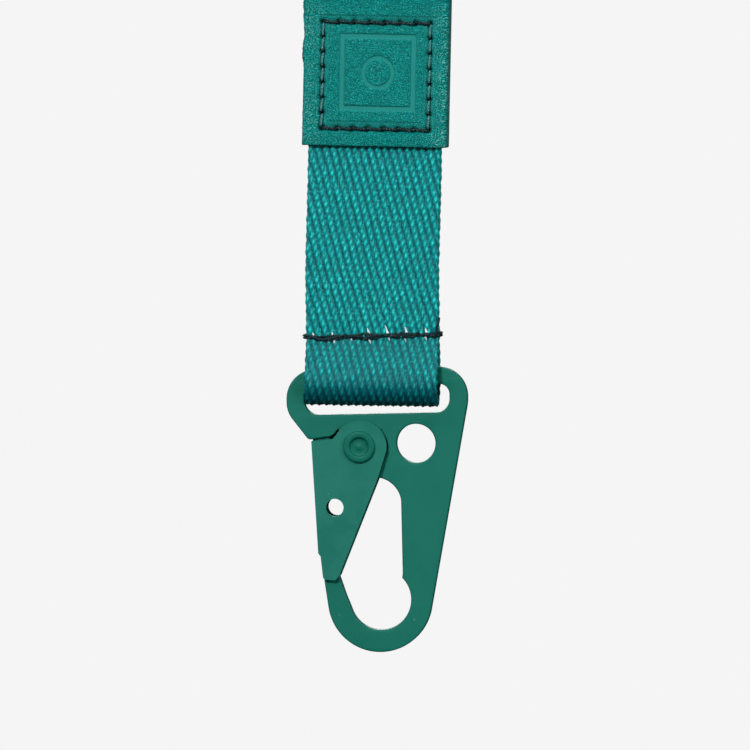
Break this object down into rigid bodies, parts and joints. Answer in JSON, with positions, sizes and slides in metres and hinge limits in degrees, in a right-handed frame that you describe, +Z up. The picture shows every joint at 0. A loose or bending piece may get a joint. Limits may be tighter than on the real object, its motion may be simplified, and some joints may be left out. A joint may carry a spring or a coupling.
{
  "type": "lanyard",
  "caption": "Neck lanyard: a flat webbing neck loop with a stitched leather wrap, and a webbing loop holding a flat painted snap hook with a sprung gate.",
  "frame": {"origin": "the inside top of the neck loop, where it rests on the neck or a peg", "axes": "+Z up along the hanging lanyard, +X across the webbing's width to the right, -Y out of the front face with the sewn square"},
  "size_m": [0.0339, 0.0952, 0.498],
  "materials": {
    "webbing": "ribbed twill",
    "leather": "fine pebbled grain, semi-matte",
    "thread": "twisted sewing thread",
    "paint": "matte",
    "gate_paint": "matte",
    "steel": "bright spring wire"
  },
  "bodies": {
    "neck_strap": {"neck_strap": "webbing", "leather_wrap": "leather", "box_stitch_front": "thread", "box_stitch_back": "thread"},
    "webbing_loop": {"webbing_loop": "webbing", "bar_tack_front": "thread", "bar_tack_back": "thread"},
    "hook": {"hook_body": "paint", "rivet": "paint", "gate_spring": "steel"},
    "gate": {"gate": "gate_paint"}
  },
  "joints": [
    {"name": "strap_flex", "type": "hinge", "parent": "neck_strap", "child": "webbing_loop", "pos_m": [0, 0, -0.404], "axis": [1, 0, 0], "range_deg": [-60, 60]},
    {"name": "hook_swing", "type": "hinge", "parent": "webbing_loop", "child": "hook", "pos_m": [0, 0, -0.4449], "axis": [0.9994, 0, 0.0349], "range_deg": [-110, 110]},
    {"name": "gate_pivot", "type": "hinge", "parent": "hook", "child": "gate", "pos_m": [-0.00294, 0, -0.45801], "axis": [0, -1, 0], "range_deg": [0, 28], "stiffness_Nm_per_rad": 0.02, "springref_deg": -20.05, "deforming": ["gate_spring"]}
  ]
}
